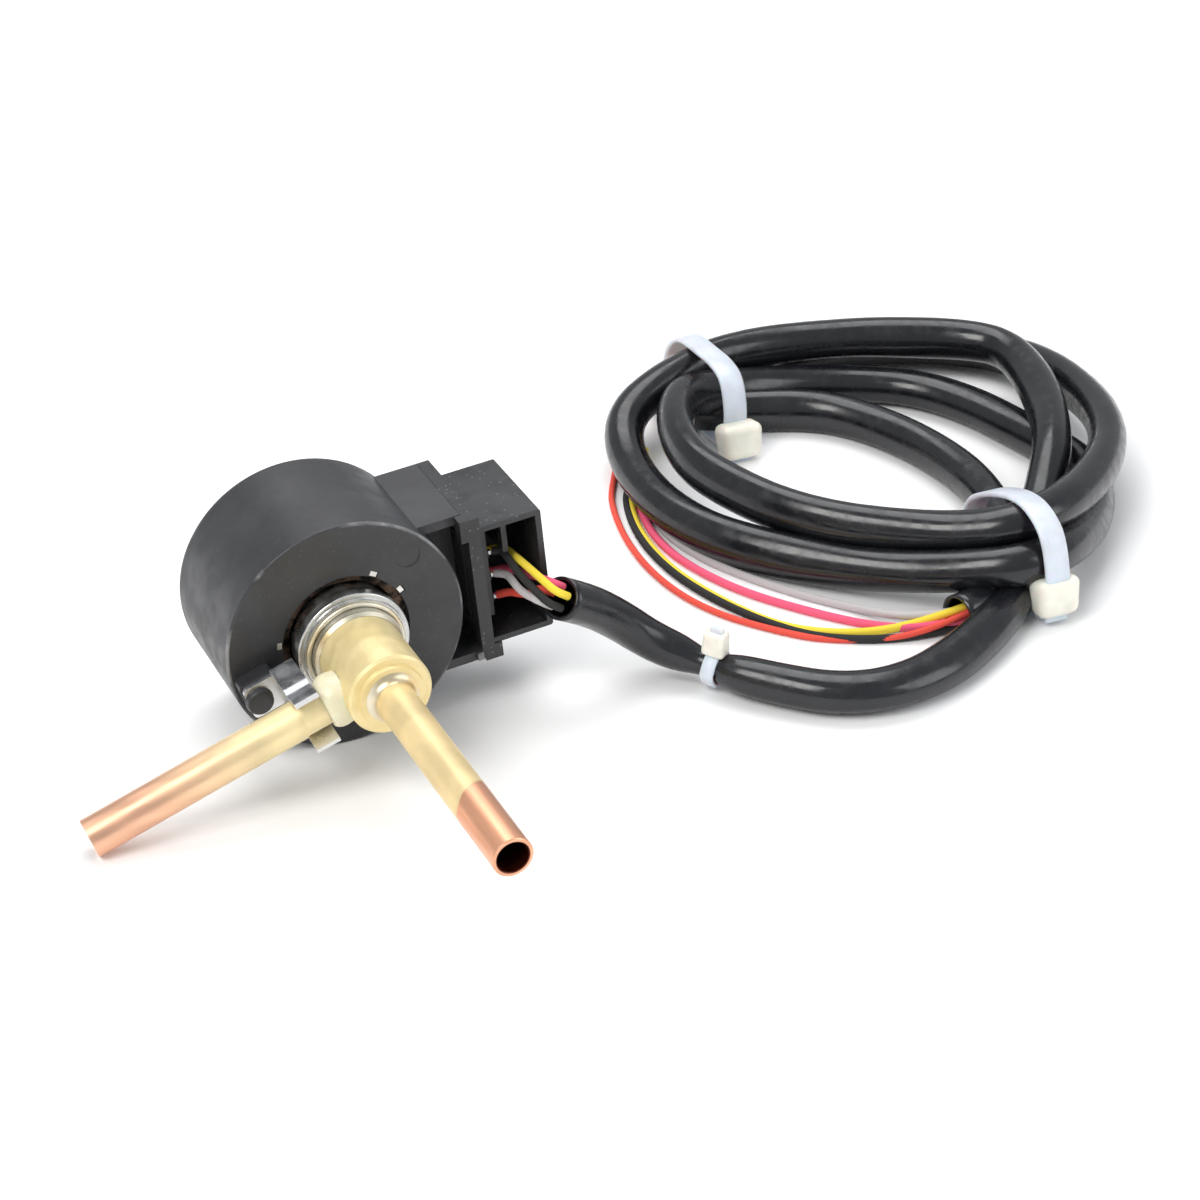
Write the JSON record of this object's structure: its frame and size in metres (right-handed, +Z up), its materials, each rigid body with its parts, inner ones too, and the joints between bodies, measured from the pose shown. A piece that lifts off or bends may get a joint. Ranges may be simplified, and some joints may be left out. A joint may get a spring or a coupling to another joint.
{
  "type": "electronic expansion valve",
  "caption": "Stepping-motor expansion valve: brass body with two copper tubes, black coil with connector cover, sleeved lead tied in a loop.",
  "frame": {"origin": "under the middle of the valve with its coil and tubes, on the surface that it lies on, the lead left out", "axes": "+X towards the connector cover, +Y along the valve axis from the outlet tube towards the coil's closed rear face, +Z up"},
  "size_m": [0.2163, 0.1559, 0.0396],
  "materials": {
    "moulding": "black moulded resin, satin, worn light at its front edge",
    "yoke": "zinc plated steel sheet",
    "bobbin": "natural moulded plastic",
    "winding": "enamelled copper wire",
    "header": "black moulded plastic",
    "pin": "tinned brass",
    "cover": "black moulded plastic, satin",
    "clip": "spring steel strip",
    "can": "drawn stainless steel",
    "base": "stainless steel ring, heat stained",
    "braze": "brazing alloy",
    "body": "turned brass, lacquered",
    "copper": "copper tube, yellow tinned near the body",
    "nut": "turned brass",
    "steel": "stainless steel",
    "magnet": "moulded ferrite magnet",
    "hub": "brass hub",
    "sleeve": "soft black vinyl sleeve",
    "tie": "natural nylon",
    "wire_black": "vinyl insulation",
    "wire_yellow": "vinyl insulation",
    "wire_grey": "vinyl insulation",
    "wire_pink": "vinyl insulation",
    "wire_red": "vinyl insulation"
  },
  "bodies": {
    "valve": {"coil_moulding": "moulding", "front_yoke": "yoke", "rear_yoke": "yoke", "front_inner_yoke": "yoke", "rear_inner_yoke": "yoke", "front_bobbin": "bobbin", "rear_bobbin": "bobbin", "front_winding": "winding", "rear_winding": "winding", "terminal_header": "header", "terminal_pins": "pin", "lead_cover": "cover", "mounting_clip": "clip", "rotor_can": "can", "base_ring": "base", "can_braze": "braze", "body_braze": "braze", "valve_body": "body", "outlet_tube": "copper", "outlet_braze": "braze", "side_tube": "copper", "side_braze": "braze", "guide_nut": "nut", "sleeve_lead": "sleeve", "lead_coil": "sleeve", "left_tie": "tie", "right_tie": "tie", "lead_wire_black": "wire_black", "lead_wire_yellow": "wire_yellow", "lead_wire_grey": "wire_grey", "lead_wire_pink": "wire_pink", "lead_wire_red": "wire_red"},
    "plunger": {"needle": "steel", "needle_spring": "steel", "thrust_washer": "steel"},
    "rotor": {"rotor_magnet": "magnet", "rotor_hub": "hub", "lead_screw": "steel", "needle_holder": "steel"}
  },
  "joints": [
    {"name": "needle_lift", "type": "slide", "parent": "valve", "child": "plunger", "axis": [0, 1, 0], "range_m": [0, 0.0025]},
    {"name": "rotor_spin", "type": "hinge", "parent": "plunger", "child": "rotor", "pos_m": [0.00612, 0.0307, 0.0198], "axis": [0, 1, 0], "range_deg": [0, 1800]}
  ],
  "couplings": [
    {"joint": "rotor_spin", "follows": "needle_lift", "rad_per_m": 12566}
  ]
}
